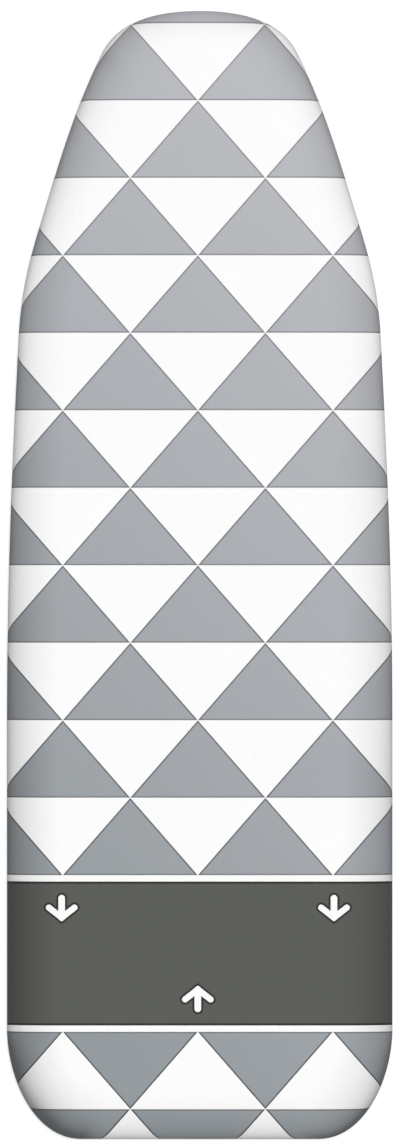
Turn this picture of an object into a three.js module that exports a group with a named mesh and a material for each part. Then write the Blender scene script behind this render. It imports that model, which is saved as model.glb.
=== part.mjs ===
// Ironing board cover: a padded cotton cover with an elastic hem, in the shape it takes on its board.
// Millimetres, +Z up, nose towards +Y. The origin is under the middle, on the plane the hem rests on.

import * as THREE from 'three';

// Outline of the dressed cover, seen from above.
const COVER_LENGTH = 1200;
const COVER_WIDTH = 410;

// Blunt nose: where its corner ends, and how far the outline has turned there from straight across.
const NOSE_CORNER_HALF_WIDTH = 104;
const NOSE_CORNER_DEPTH = 45;
const NOSE_CORNER_TURN = 64;

// End of the nose taper: distance behind the tip, narrowing on each side, and turn.
const TAPER_END_DEPTH = 235;
const TAPER_END_NARROWING = 33;
const TAPER_END_TURN = 73;

// Start of the long, almost parallel sides.
const SIDE_START_DEPTH = 346;
const SIDE_START_NARROWING = 12.5;
const SIDE_START_TURN = 87;

// Full width begins this far behind the tip, and the heel corners take this much of each edge.
const FULL_WIDTH_DEPTH = 758;
const HEEL_CORNER_LENGTH = 117;
const HEEL_CORNER_WIDTH = 79;

// Outlines further in take the corners rounder: a corner's end slides on by this share of the inset.
const CORNER_EASE = 0.4;

// Layers, from the board upwards, and the free space that the board's edge slides into.
const BOARD_SPACE = 30;
const FELT_THICKNESS = 3;
const FOAM_THICKNESS = 6;
const CLOTH_THICKNESS = 0.6;

// Rounded edge of the dressed cover: reach of the soft shoulder, height of the widest line, and the roll
// that turns under the board.
const SHOULDER_REACH = 55;
const WIDEST_LINE_HEIGHT = 12;
const ROLL_REACH = 16;
const FOAM_RIM = 1.2;

// Hem: the cloth turns under by the return width, and a folded tape grips its edge and holds the elastic.
const RETURN_WIDTH = 52;
const TAPE_THICKNESS = 0.6;
const TAPE_GRIP = 8;
const TAPE_SLANT = 1.5;
const ELASTIC_WIDTH = 8;
const ELASTIC_THICKNESS = 1.6;

// Gap left between neighbouring pieces.
const FIT_GAP = 0.3;

// Facets: how full the curves between key points are, and the steps of the rounded sections.
const CURVE_FULLNESS = 0.36;
const SHOULDER_STEPS = 7;
const ROLL_STEPS = 3;
const FOLD_STEPS = 4;

// How far the flat facets of the cloth's shoulder cut inside its true curve, and how deep the padding lies.
const FACET_SAG = SHOULDER_REACH * (1 - Math.cos(Math.PI / (4 * SHOULDER_STEPS)));
const PADDING_DEPTH = CLOTH_THICKNESS + FIT_GAP + FACET_SAG;

// Heights that follow from the layers.
const HEM_HEIGHT = ELASTIC_THICKNESS + 2 * (TAPE_THICKNESS + FIT_GAP);
const HEM_MIDDLE = HEM_HEIGHT / 2;
const RETURN_BOTTOM = HEM_MIDDLE - CLOTH_THICKNESS / 2;
const FELT_BOTTOM = HEM_HEIGHT + FIT_GAP + BOARD_SPACE;
const FELT_TOP = FELT_BOTTOM + FELT_THICKNESS;
const FOAM_BOTTOM = FELT_TOP + FIT_GAP;
const COVER_TOP = FOAM_BOTTOM + FOAM_THICKNESS + PADDING_DEPTH;
const SHOULDER_RISE = COVER_TOP - WIDEST_LINE_HEIGHT;
const ROLL_DROP = WIDEST_LINE_HEIGHT - RETURN_BOTTOM;

// Insets that follow from the hem. The elastic lies just inside the cloth's cut edge.
const ELASTIC_OUTER = RETURN_WIDTH + TAPE_SLANT;
const ELASTIC_INNER = ELASTIC_OUTER + ELASTIC_WIDTH;

// Key points of the right-hand half outline, from the nose tip round to the middle of the heel.
// turn is the heading there, in degrees clockwise from +X. ease is how far the point slides on as the
// outline moves in, and facets is the count up to the next key point.
const HALF_WIDTH = COVER_WIDTH / 2;
const NOSE_Y = COVER_LENGTH / 2;
const HEEL_Y = -COVER_LENGTH / 2;
const NOSE_CORNER_Y = NOSE_Y - NOSE_CORNER_DEPTH;
const TAPER_END_X = HALF_WIDTH - TAPER_END_NARROWING;
const SIDE_START_X = HALF_WIDTH - SIDE_START_NARROWING;
const KEY_POINTS = [
  { x: 0, y: NOSE_Y, turn: 0, ease: 0, facets: 6 },
  { x: NOSE_CORNER_HALF_WIDTH, y: NOSE_CORNER_Y, turn: NOSE_CORNER_TURN, ease: CORNER_EASE, facets: 3 },
  { x: TAPER_END_X, y: NOSE_Y - TAPER_END_DEPTH, turn: TAPER_END_TURN, ease: 0, facets: 3 },
  { x: SIDE_START_X, y: NOSE_Y - SIDE_START_DEPTH, turn: SIDE_START_TURN, ease: 0, facets: 3 },
  { x: HALF_WIDTH, y: NOSE_Y - FULL_WIDTH_DEPTH, turn: 90, ease: 0, facets: 2 },
  { x: HALF_WIDTH, y: HEEL_Y + HEEL_CORNER_LENGTH, turn: 90, ease: 0, facets: 6 },
  { x: HALF_WIDTH - HEEL_CORNER_WIDTH, y: HEEL_Y, turn: 180, ease: CORNER_EASE, facets: 2 },
  { x: 0, y: HEEL_Y, turn: 180, ease: 0, facets: 0 },
];

// A key point moved square to the outline, towards the inside, and eased along it.
function insetKeyPoint(key, inset) {
  const angle = THREE.MathUtils.degToRad(key.turn);
  const heading = new THREE.Vector2(Math.cos(angle), -Math.sin(angle));
  const inward = new THREE.Vector2(heading.y, -heading.x);
  const point = new THREE.Vector2(key.x, key.y).addScaledVector(inward, inset);
  point.addScaledVector(heading, inset * key.ease);
  return { point, heading, facets: key.facets };
}

// Closed outline that lies inset from the edge of the cover, as points in counter-clockwise order.
function outlinePoints(inset) {
  const keys = KEY_POINTS.map((key) => insetKeyPoint(key, inset));
  const half = [];
  for (let i = 0; i + 1 < keys.length; i += 1) {
    const [from, to] = [keys[i], keys[i + 1]];
    const handle = CURVE_FULLNESS * from.point.distanceTo(to.point);
    const leaving = from.point.clone().addScaledVector(from.heading, handle);
    const arriving = to.point.clone().addScaledVector(to.heading, -handle);
    const curve = new THREE.CubicBezierCurve(from.point, leaving, arriving, to.point);
    half.push(...curve.getPoints(from.facets).slice(0, -1));
  }
  half.push(keys[keys.length - 1].point);
  const otherHalf = half.slice(1, -1).map((point) => new THREE.Vector2(-point.x, point.y));
  return [half[0], ...otherHalf, ...half.slice(1).reverse()];
}

// A solid swept round the cover. The section is a list of [inset, z] points that runs outwards along the
// top, down the outer side and back inwards. A section that is not closed ends in two flat caps.
function sweptGeometry(section, closed) {
  const rings = section.map(([inset, z]) => outlinePoints(inset).map((p) => [p.x, p.y, z]));
  const count = rings[0].length;
  const index = [];
  const spans = closed ? rings.length : rings.length - 1;
  for (let j = 0; j < spans; j += 1) {
    const upper = j * count;
    const lower = ((j + 1) % rings.length) * count;
    for (let i = 0; i < count; i += 1) {
      const next = (i + 1) % count;
      index.push(upper + i, lower + i, lower + next);
      index.push(upper + i, lower + next, upper + next);
    }
  }
  if (!closed) {
    const last = (rings.length - 1) * count;
    for (const [a, b, c] of capTriangles(count)) {
      index.push(a, b, c);
      index.push(last + a, last + c, last + b);
    }
  }
  const geometry = new THREE.BufferGeometry();
  geometry.setAttribute('position', new THREE.Float32BufferAttribute(rings.flat(2), 3));
  geometry.setIndex(index);
  geometry.computeVertexNormals();
  return geometry;
}

// Flat cap of one outline: rungs across it from the left half to the right half, nose to heel.
function capTriangles(count) {
  const triangles = [];
  for (let left = 0; left + 1 <= count / 2; left += 1) {
    const right = (count - left) % count;
    const [nextLeft, nextRight] = [left + 1, count - left - 1];
    if (left > 0) triangles.push([left, nextLeft, right]);
    if (nextLeft !== nextRight) triangles.push([right, nextLeft, nextRight]);
  }
  return triangles;
}

// The soft shoulder, from its top at fromAngle (degrees) down to toAngle, on a face that lies depth
// beneath the outer face. Angle 0 is the widest line and angle 90 is the flat top.
function shoulder(depth, fromAngle, toAngle, steps) {
  return quarterPoints(SHOULDER_REACH, SHOULDER_RISE, depth, fromAngle, toAngle, steps);
}

// The roll under the edge, from the widest line (angle 0) down to the flat return (angle -90).
function roll(depth, fromAngle, toAngle) {
  return quarterPoints(ROLL_REACH, ROLL_DROP, depth, fromAngle, toAngle, ROLL_STEPS);
}

function quarterPoints(reach, rise, depth, fromAngle, toAngle, steps) {
  const points = [];
  for (let i = 0; i <= steps; i += 1) {
    const angle = THREE.MathUtils.degToRad(THREE.MathUtils.lerp(fromAngle, toAngle, i / steps));
    const inset = reach - (reach - depth) * Math.cos(angle);
    points.push([inset, WIDEST_LINE_HEIGHT + (rise - depth) * Math.sin(angle)]);
  }
  return points;
}

// Angle and inset of the shoulder where the padding's outer face passes height z.
function paddingAngle(z) {
  return THREE.MathUtils.radToDeg(Math.asin((z - WIDEST_LINE_HEIGHT) / (SHOULDER_RISE - PADDING_DEPTH)));
}

function paddingInset(z) {
  return shoulder(PADDING_DEPTH, paddingAngle(z), 0, 1)[0][0];
}

// Half circle in a section, round the inner end of the hem.
function hemFold(radius, fromAngle, toAngle) {
  const points = [];
  for (let i = 0; i <= FOLD_STEPS; i += 1) {
    const angle = THREE.MathUtils.degToRad(THREE.MathUtils.lerp(fromAngle, toAngle, i / FOLD_STEPS));
    points.push([ELASTIC_INNER + radius * Math.cos(angle), HEM_MIDDLE + radius * Math.sin(angle)]);
  }
  return points;
}

// Printed cotton shell: flat top, soft shoulder, roll and return, back along the inside to the top.
function coverSection() {
  const outer = [...shoulder(0, 90, 0, SHOULDER_STEPS), ...roll(0, 0, -90).slice(1)];
  const innerShoulder = shoulder(CLOTH_THICKNESS, 0, 90, SHOULDER_STEPS);
  const inner = [...roll(CLOTH_THICKNESS, -90, 0), ...innerShoulder.slice(1)];
  const cutEdge = [[RETURN_WIDTH, RETURN_BOTTOM], [RETURN_WIDTH, RETURN_BOTTOM + CLOTH_THICKNESS]];
  return [...outer, ...cutEdge, ...inner];
}

// Foam pad: its top and soft shoulder follow the cloth, down to a thin rim on a flat underside.
function foamSection() {
  const rimTop = FOAM_BOTTOM + FOAM_RIM;
  const top = shoulder(PADDING_DEPTH, 90, paddingAngle(rimTop), SHOULDER_STEPS);
  return [...top, [paddingInset(rimTop), FOAM_BOTTOM]];
}

// Felt underlay: a flat layer on the board with its edge pared to the slope of the cloth.
function feltSection() {
  return [[paddingInset(FELT_TOP), FELT_TOP], [paddingInset(FELT_BOTTOM), FELT_BOTTOM]];
}

// Hem tape folded round the cut edge of the cloth: an open mouth, a slant on each side, and a tunnel.
function bindingSection() {
  const mouth = RETURN_WIDTH - TAPE_GRIP;
  const grip = CLOTH_THICKNESS / 2 + FIT_GAP;
  const leaf = grip + TAPE_THICKNESS;
  const tunnel = HEM_MIDDLE - TAPE_THICKNESS;
  return [
    ...hemFold(HEM_MIDDLE, -90, 90).slice(1),
    [ELASTIC_OUTER, HEM_HEIGHT],
    [RETURN_WIDTH, HEM_MIDDLE + leaf],
    [mouth, HEM_MIDDLE + leaf],
    [mouth, HEM_MIDDLE + grip],
    [RETURN_WIDTH, HEM_MIDDLE + grip],
    [ELASTIC_OUTER, HEM_MIDDLE + tunnel],
    ...hemFold(tunnel, 90, -90),
    [ELASTIC_OUTER, HEM_MIDDLE - tunnel],
    [RETURN_WIDTH, HEM_MIDDLE - grip],
    [mouth, HEM_MIDDLE - grip],
    [mouth, HEM_MIDDLE - leaf],
    [RETURN_WIDTH, HEM_MIDDLE - leaf],
    [ELASTIC_OUTER, 0],
    [ELASTIC_INNER, 0],
  ];
}

// Flat elastic band inside the tunnel.
function elasticSection() {
  const half = ELASTIC_THICKNESS / 2;
  return [
    [ELASTIC_INNER, HEM_MIDDLE + half],
    [ELASTIC_OUTER, HEM_MIDDLE + half],
    [ELASTIC_OUTER, HEM_MIDDLE - half],
    [ELASTIC_INNER, HEM_MIDDLE - half],
  ];
}

function piece(name, geometry, color, roughness) {
  const mesh = new THREE.Mesh(geometry, new THREE.MeshStandardMaterial({ color, roughness, metalness: 0 }));
  mesh.name = name;
  return mesh;
}

const ironingBoardCover = new THREE.Group();
ironingBoardCover.name = 'ironing_board_cover';
ironingBoardCover.add(
  piece('cover_fabric', sweptGeometry(coverSection(), false), 0xd4d6d8, 0.85),
  piece('foam_pad', sweptGeometry(foamSection(), false), 0xf1ead2, 0.95),
  piece('felt_underlay', sweptGeometry(feltSection(), false), 0xe6e4de, 1.0),
  piece('hem_binding', sweptGeometry(bindingSection(), true), 0xa3a6aa, 0.9),
  piece('hem_elastic', sweptGeometry(elasticSection(), true), 0xf4f4f2, 0.8),
);

export default ironingBoardCover;
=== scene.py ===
"""Looks of a padded ironing board cover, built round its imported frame.

Metres, +Z up, nose towards +Y. The cover has the shape that it takes on its board: a printed cotton shell
over foam and felt, drawn in under the board by an elastic hem.
"""
import logging
import math
from dataclasses import dataclass, field
from enum import Enum

import bmesh
import bpy
import numpy as np
from mathutils import Matrix, Vector, noise


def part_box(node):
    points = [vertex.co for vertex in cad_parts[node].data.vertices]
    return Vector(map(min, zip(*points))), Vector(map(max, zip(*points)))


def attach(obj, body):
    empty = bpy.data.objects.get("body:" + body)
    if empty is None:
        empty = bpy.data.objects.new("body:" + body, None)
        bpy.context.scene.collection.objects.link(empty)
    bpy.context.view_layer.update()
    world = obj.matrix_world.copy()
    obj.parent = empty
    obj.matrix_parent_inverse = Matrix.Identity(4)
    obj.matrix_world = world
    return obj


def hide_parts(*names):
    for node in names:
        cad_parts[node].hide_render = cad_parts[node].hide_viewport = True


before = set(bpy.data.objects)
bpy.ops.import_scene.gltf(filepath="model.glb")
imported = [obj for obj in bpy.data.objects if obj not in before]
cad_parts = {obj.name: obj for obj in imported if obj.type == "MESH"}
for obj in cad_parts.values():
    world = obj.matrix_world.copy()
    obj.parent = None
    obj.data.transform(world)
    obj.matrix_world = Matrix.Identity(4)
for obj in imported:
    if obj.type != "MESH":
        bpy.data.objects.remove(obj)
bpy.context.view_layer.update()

BODY = "root"
CUT_LAYER = "cut_pattern"
PAINTED_SHADE_LAYER = "edge_greying"
LOG = logging.getLogger("ironing_board_cover")

Number = "float | Value"
Colour = tuple[float, float, float, float]
Section = list[tuple[float, float]]
Socket = bpy.types.NodeSocket
Material = bpy.types.Material
Piece = bpy.types.Object
Mesh = bmesh.types.BMesh
Ring = list[bmesh.types.BMVert]


class Fill(Enum):
    """How firmly a padding layer is filled."""

    SOFT_FOAM = 0.5
    FLAT_FELT = 0.35


class Value:
    """A number that varies over a surface: one socket that takes part in Python arithmetic."""

    def __init__(self, tree: "ShaderTree", socket: Socket) -> None:
        """Keeps the socket and the tree that it belongs to."""
        self.tree = tree
        self.socket = socket

    def __add__(self, other: Number) -> "Value":
        """Sum of two numbers."""
        return self.tree.math("ADD", self, other)

    def __sub__(self, other: Number) -> "Value":
        """Difference of two numbers."""
        return self.tree.math("SUBTRACT", self, other)

    def __rsub__(self, other: Number) -> "Value":
        """Difference, with this number taken away."""
        return self.tree.math("SUBTRACT", other, self)

    def __mul__(self, other: Number) -> "Value":
        """Product of two numbers."""
        return self.tree.math("MULTIPLY", self, other)

    def __truediv__(self, other: Number) -> "Value":
        """Quotient of two numbers."""
        return self.tree.math("DIVIDE", self, other)

    def __pow__(self, power: float) -> "Value":
        """The number raised to a fixed power."""
        return self.tree.math("POWER", self, power)

    def __abs__(self) -> "Value":
        """Size of the number without its sign."""
        return self.tree.math("ABSOLUTE", self)

    __radd__ = __add__
    __rmul__ = __mul__

    def floor(self) -> "Value":
        """Whole number below."""
        return self.tree.math("FLOOR", self)

    def fract(self) -> "Value":
        """What is left above the whole number below."""
        return self.tree.math("FRACT", self)

    def root(self) -> "Value":
        """Square root."""
        return self.tree.math("SQRT", self)

    def sine(self) -> "Value":
        """Sine of an angle in radians."""
        return self.tree.math("SINE", self)

    def least(self, other: Number) -> "Value":
        """The smaller of two numbers."""
        return self.tree.math("MINIMUM", self, other)

    def most(self, other: Number) -> "Value":
        """The larger of two numbers."""
        return self.tree.math("MAXIMUM", self, other)

    def share(self) -> "Value":
        """The number held between 0 and 1."""
        return self.tree.math("ADD", self, 0.0, clamp=True)

    def inside(self, soft: float) -> "Value":
        """Mask from 0 to 1, which is 1 where this distance is positive, with an edge as wide as soft."""
        return self.tree.math("MULTIPLY_ADD", self, 1.0 / soft, 0.5, clamp=True)


class ShaderTree:
    """Node tree of a finish or of the surroundings."""

    def __init__(self, node_tree: bpy.types.ShaderNodeTree) -> None:
        """Keeps the tree that the nodes go into."""
        self.node_tree = node_tree

    def node(self, kind: str, settings: dict | None = None, inputs: dict | None = None) -> bpy.types.Node:
        """Adds one node.

        Args:
            kind: Blender's type name of the node.
            settings: Properties of the node, set before its sockets.
            inputs: Values or links of its sockets, by name or number.

        Returns:
            The new node.
        """
        made = self.node_tree.nodes.new(kind)
        for name, value in (settings or {}).items():
            setattr(made, name, value)
        for key, value in (inputs or {}).items():
            self.feed(made.inputs[key], value)
        return made

    def feed(self, socket: Socket, value: object) -> None:
        """Links a socket to a varying value, or sets it to a fixed one.

        Args:
            socket: Socket of a node.
            value: A varying value, another node's socket, a number or a colour.
        """
        source = value.socket if isinstance(value, Value) else value
        if isinstance(source, Socket):
            self.node_tree.links.new(source, socket)
        elif socket.type == "VECTOR":
            socket.default_value = source[:3]
        else:
            socket.default_value = source

    def math(self, operation: str, *terms: Number, clamp: bool = False) -> Value:
        """Adds a Math node.

        Args:
            operation: Name of the node's operation.
            terms: Its numbers, in order.
            clamp: Whether the result is held between 0 and 1.

        Returns:
            The result.
        """
        settings = {"operation": operation, "use_clamp": clamp}
        made = self.node("ShaderNodeMath", settings, dict(enumerate(terms)))
        return Value(self, made.outputs[0])

    def blend(self, factor: Number, first: object, second: object) -> Socket:
        """Colour between two colours, the second where factor is 1."""
        return self.node("ShaderNodeMix", {"data_type": "RGBA"}, {0: factor, 6: first, 7: second}).outputs[2]

    def scale(self, colour: object, factor: Number) -> Socket:
        """Colour or vector times a number."""
        return self.node("ShaderNodeVectorMath", {"operation": "SCALE"}, {0: colour, 3: factor}).outputs[0]

    def split(self, vector: Socket) -> tuple[Value, ...]:
        """The three numbers of a vector."""
        made = self.node("ShaderNodeSeparateXYZ", inputs={0: vector})
        return tuple(Value(self, output) for output in made.outputs)

    def noise(self, vector: Socket, scale: float, detail: float = 2.0) -> Value:
        """Soft noise from 0 to 1 with about scale lumps to the metre."""
        made = self.node("ShaderNodeTexNoise", inputs={"Vector": vector, "Scale": scale, "Detail": detail})
        return Value(self, made.outputs[0])

    def clouds(self, vector: Socket, scale: float) -> Value:
        """Soft unevenness about 0 with about scale lumps to the metre."""
        return self.noise(vector, scale) - 0.5

    def stretched_noise(self, vector: Socket, scales: tuple[float, float, float]) -> Value:
        """Noise with its own lumps to the metre along each axis, for threads and fibres."""
        spread = self.node("ShaderNodeVectorMath", {"operation": "MULTIPLY"}, {0: vector, 1: scales})
        return self.noise(spread.outputs[0], 1.0)

    def object_place(self) -> Socket:
        """Place on the object, in metres."""
        return self.node("ShaderNodeTexCoord").outputs["Object"]

    def layer(self, name: str) -> Socket:
        """Vector that the mesh carries at each of its vertices."""
        return self.node("ShaderNodeAttribute", {"attribute_name": name}).outputs["Vector"]

    def seen(self) -> Value:
        """What the camera sees, straight or through a reflection or glass.

        Returns:
            1 for what is seen, and 0 for what only gives light.
        """
        path = self.node("ShaderNodeLightPath")
        rays = ("Camera", "Glossy", "Transmission")
        straight, glossy, through = (Value(self, path.outputs[f"Is {ray} Ray"]) for ray in rays)
        return straight.most(glossy).most(through)


class FinishTree(ShaderTree):
    """Node tree of one material, with the shader that its nodes feed."""

    def __init__(self, name: str) -> None:
        """Starts a material with a principled shader.

        Args:
            name: Name of the material.
        """
        self.material = bpy.data.materials.new(name)
        self.material.use_nodes = True
        super().__init__(self.material.node_tree)
        self.shader = self.node_tree.nodes["Principled BSDF"]

    def finish(self, colour: object, roughness: object, height: Value, depth: float) -> Material:
        """Feeds the shader.

        Args:
            colour: Base colour, fixed or varying.
            roughness: Roughness, fixed or varying.
            height: Relief from 0 to 1.
            depth: How deep the relief is, in metres.

        Returns:
            The finished material.
        """
        self.feed(self.shader.inputs["Base Color"], colour)
        self.feed(self.shader.inputs["Roughness"], roughness)
        bump = self.node("ShaderNodeBump", inputs={"Strength": 1.0, "Distance": depth, "Height": height})
        self.feed(self.shader.inputs["Normal"], bump.outputs[0])
        return self.material


def srgb(*screen: int) -> Colour:
    """Linear colour of a screen colour.

    Args:
        screen: Red, green and blue, from 0 to 255.

    Returns:
        Red, green, blue and alpha, from 0 to 1.
    """
    shares = [level / 255 for level in screen]
    linear = [share / 12.92 if share < 0.04045 else ((share + 0.055) / 1.055) ** 2.4 for share in shares]
    return *linear, 1.0


@dataclass(frozen=True)
class Weave:
    """Plain weave of a cotton cloth, with threads that are uneven along their length."""

    thread: float = 0.00045
    slub_long: float = 90.0
    slub_fine: float = 1800.0
    slub_share: float = 0.6
    crossing_share: float = 0.35
    depth: float = 0.00006

    def relief(self, tree: FinishTree, place: Socket) -> Value:
        """Height of the threads.

        Args:
            tree: Node tree of the finish.
            place: Place on the cloth, in metres.

        Returns:
            A number from 0 to 1.
        """
        across, along, _ = tree.split(place)
        turns = math.pi / self.thread
        crossings = (across * turns).sine() * (along * turns).sine()
        return (crossings * self.crossing_share + 0.5 + self.slubs(tree, place) * self.slub_share).share()

    def slubs(self, tree: FinishTree, place: Socket) -> Value:
        """Uneven thickness of the threads.

        Args:
            tree: Node tree of the finish.
            place: Place on the cloth, in metres.

        Returns:
            A number about 0, for warp and weft together.
        """
        warp = tree.stretched_noise(place, (self.slub_fine, self.slub_long, 1.0))
        weft = tree.stretched_noise(place, (self.slub_long, self.slub_fine, 1.0))
        return (warp + weft) * 0.5 - 0.5


@dataclass(frozen=True)
class InkMasks:
    """Where each ink of the print lies, from 0 to 1."""

    triangle: Value
    slant_line: Value
    base_line: Value
    band: Value
    band_line: Value
    arrow: Value


@dataclass(frozen=True)
class TrianglePrint:
    """Rows of grey triangles on white, mirrored about a dark band with plain arrows.

    The strip is the white line along the band, the gap is the white line between two slants, and the keylines
    are the dark outlines inside the triangles and the band and round the arrows.
    """

    centre_x: float = -0.002
    base: float = 0.1435
    row_height: float = 0.0823
    band_centre_y: float = -0.4020
    band_half_height: float = 0.07643
    strip: float = 0.00675
    gap: float = 0.0003
    keyline: float = 0.0015
    band_keyline: float = 0.0023
    ink_edge: float = 0.0003
    arrow_pitch: float = 0.1446
    arrow_tip: float = 0.0341
    arrow_tail: float = 0.0622
    shaft_stroke: float = 0.0070
    arm_stroke: float = 0.0064
    arrow_arm: tuple[float, float] = (0.0136, 0.0106)

    def masks(self, across: Value, along: Value) -> InkMasks:
        """Where the inks lie.

        Args:
            across: Place across the cloth, in metres.
            along: Place along the cloth, in metres.

        Returns:
            One mask for each ink.
        """
        side = across - self.centre_x
        from_band = along - self.band_centre_y
        distance = abs(from_band)
        slant, base = self.triangle_depths(side, distance)
        band = self.band_half_height - distance
        arrow = self.arrow_depth(side, from_band, distance)
        grey, dark, white = (depth.inside(self.ink_edge) for depth in (slant.least(base), band, arrow))
        past_slant, past_base = ((depth - self.keyline).inside(self.ink_edge) for depth in (slant, base))
        in_band = dark - (band - self.band_keyline).inside(self.ink_edge)
        round_arrow = (arrow + self.band_keyline).inside(self.ink_edge) - white
        return InkMasks(grey, grey - grey.least(past_slant), grey - grey.least(past_base), dark,
                        (in_band + round_arrow).share(), white)

    def triangle_depths(self, side: Value, distance: Value) -> tuple[Value, Value]:
        """Distances inside the nearest grey triangle, negative on white.

        Args:
            side: Place to the right of the print's middle line.
            distance: Distance from the middle of the band.

        Returns:
            The distance from its slants and the distance from its base.
        """
        slant = self.row_height / math.hypot(self.row_height, self.base / 2)
        height = distance - (self.band_half_height + self.strip)
        row = (height / self.row_height).floor()
        level = height - row * self.row_height
        place = (side / self.base + (row * 0.5).fract()).fract()
        to_slant = ((1 - level / self.row_height) * 0.5 - abs(place - 0.5)) * (self.base * slant)
        return to_slant - self.gap / 2, level.least(height)

    def arrow_depth(self, side: Value, from_band: Value, distance: Value) -> Value:
        """Distance inside the nearest arrow: two above the middle of the band and one below it.

        Args:
            side: Place to the right of the print's middle line.
            from_band: Place along the cloth from the middle of the band.
            distance: The same place without its sign.

        Returns:
            The distance, negative outside the arrow.
        """
        upper = from_band.inside(self.ink_edge)
        middle = abs(side)
        outer = abs(middle - self.arrow_pitch)
        across = middle + (outer - middle) * upper
        shaft_radius, arm_radius = self.shaft_stroke / 2, self.arm_stroke / 2
        arm_x, arm_y = self.arrow_arm
        tip = self.arrow_tip + arm_radius * math.hypot(arm_x, arm_y) / arm_x
        past_ends = (tip - distance).most(distance - (self.arrow_tail - shaft_radius)).most(0.0)
        shaft = shaft_radius - (across * across + past_ends * past_ends).root()
        along = ((across * arm_x + (distance - tip) * arm_y) / (arm_x ** 2 + arm_y ** 2)).least(1.0)
        off_x = across - along * arm_x
        off_y = distance - tip - along * arm_y
        arm = arm_radius - (off_x * off_x + off_y * off_y).root()
        return shaft.most(arm)


@dataclass(frozen=True)
class PrintedCotton:
    """Matt cotton with its grey print, lighter towards the nose and darker towards the left by painted shade.
    """

    length: float
    name: str = "printed_cotton"
    ground: Colour = (0.93, 0.93, 0.93, 1.0)
    grey_nose: Colour = srgb(183, 184, 189)
    grey_heel: Colour = srgb(142, 148, 152)
    band: Colour = srgb(81, 83, 79)
    heelward_power: float = 0.92
    # painted shade: how much the grey darkens towards the left
    leftward_painted_shade: float = 0.85
    base_line: float = 0.45
    slant_line: tuple[float, float] = (0.38, 0.75)
    band_line: float = 0.8
    clouds: float = 9.0
    cloud_tone: float = 0.03
    thread_tone: float = 0.09
    # painted shade in the dips of the weave
    weave_painted_shade: float = 0.13
    ground_roughness: float = 0.86
    ink_roughness: float = 0.74
    specular: float = 0.25
    weave: Weave = Weave()
    pattern: TrianglePrint = TrianglePrint()

    def material(self) -> Material:
        """Makes the material.

        Returns:
            The printed cotton.
        """
        tree = FinishTree(self.name)
        place = tree.layer(CUT_LAYER)
        across, along, _ = tree.split(place)
        inks = self.pattern.masks(across, along)
        heelward = (0.5 - along / self.length).share() ** self.heelward_power
        # The grey is lighter towards the nose, and painted shade darkens it towards the left.
        grey = tree.blend((heelward - across * self.leftward_painted_shade).share(), self.grey_nose, self.grey_heel)
        colour = tree.blend(inks.band, tree.blend(inks.triangle, self.ground, grey), self.band)
        at_nose, at_heel = self.slant_line
        slants = inks.slant_line * (heelward * (at_heel - at_nose) + at_nose)
        colour = tree.scale(colour, 1 - slants.most(inks.base_line * self.base_line))
        colour = tree.scale(colour, 1 - inks.band_line * self.band_line)
        colour = tree.blend(inks.arrow, colour, self.ground)
        inked = (inks.triangle + inks.band - inks.arrow).share()
        relief = self.weave.relief(tree, place)
        # Painted shade along the rolled edge and in the dips of the weave darkens the colour.
        colour = tree.scale(colour, self.painted_shade_tone(tree, inked) * self.cloth_tone(tree, place, relief))
        roughness = self.ground_roughness - inked * (self.ground_roughness - self.ink_roughness)
        tree.shader.inputs["Specular IOR Level"].default_value = self.specular
        return tree.finish(colour, roughness, relief, self.weave.depth)

    @staticmethod
    def painted_shade_tone(tree: FinishTree, inked: Value) -> Value:
        """Painted shade along the rolled edge, by one share on the ink and another on the ground."""
        on_ink, on_ground, _ = tree.split(tree.layer(PAINTED_SHADE_LAYER))
        return 1 - (on_ground + (on_ink - on_ground) * inked)

    def cloth_tone(self, tree: FinishTree, place: Socket, relief: Value) -> Value:
        """Slight unevenness of the dye and of the threads, with painted shade where the threads dip."""
        dye = tree.clouds(place, self.clouds) * self.cloud_tone
        return dye + self.weave.slubs(tree, place) * self.thread_tone + (relief - 0.5) * self.weave_painted_shade + 1


@dataclass(frozen=True)
class PlainCloth:
    """Unprinted woven cloth: the back of the cotton, or a hem tape."""

    name: str
    colour: Colour
    weave: Weave = Weave()
    roughness: float = 0.9
    thread_tone: float = 0.12
    clouds: float = 14.0
    cloud_tone: float = 0.06

    def material(self) -> Material:
        """Makes the material.

        Returns:
            The plain cloth.
        """
        tree = FinishTree(self.name)
        place = tree.object_place()
        dye = tree.clouds(place, self.clouds) * self.cloud_tone
        colour = tree.scale(self.colour, self.weave.slubs(tree, place) * self.thread_tone + dye + 1)
        return tree.finish(colour, self.roughness, self.weave.relief(tree, place), self.weave.depth)


@dataclass(frozen=True)
class NeedledFelt:
    """Pressed felt of mixed fibres, with a few dark ones among them."""

    name: str = "needled_felt"
    pale: Colour = srgb(226, 223, 214)
    dark: Colour = srgb(188, 184, 174)
    fleck: Colour = srgb(120, 122, 128)
    fibres: tuple[float, float, float] = (900.0, 260.0, 900.0)
    crossing_fibres: tuple[float, float, float] = (240.0, 950.0, 900.0)
    fleck_fibres: tuple[float, float, float] = (700.0, 180.0, 700.0)
    clumps: float = 60.0
    clump_detail: float = 4.0
    pale_from: float = 0.38
    pale_contrast: float = 4.0
    fleck_from: float = 0.68
    fleck_contrast: float = 9.0
    fleck_share: float = 0.7
    roughness: float = 0.97
    depth: float = 0.0005

    def material(self) -> Material:
        """Makes the material.

        Returns:
            The felt.
        """
        tree = FinishTree(self.name)
        place = tree.object_place()
        fibres, crossing, flecks = (tree.stretched_noise(place, scales) for scales in (
            self.fibres, self.crossing_fibres, self.fleck_fibres))
        fuzz = (fibres + crossing + tree.noise(place, self.clumps, self.clump_detail)) / 3
        pale = ((fuzz - self.pale_from) * self.pale_contrast).share()
        flecked = ((flecks - self.fleck_from) * self.fleck_contrast).share() * self.fleck_share
        colour = tree.blend(flecked, tree.blend(pale, self.dark, self.pale), self.fleck)
        return tree.finish(colour, self.roughness, fuzz, self.depth)


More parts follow.
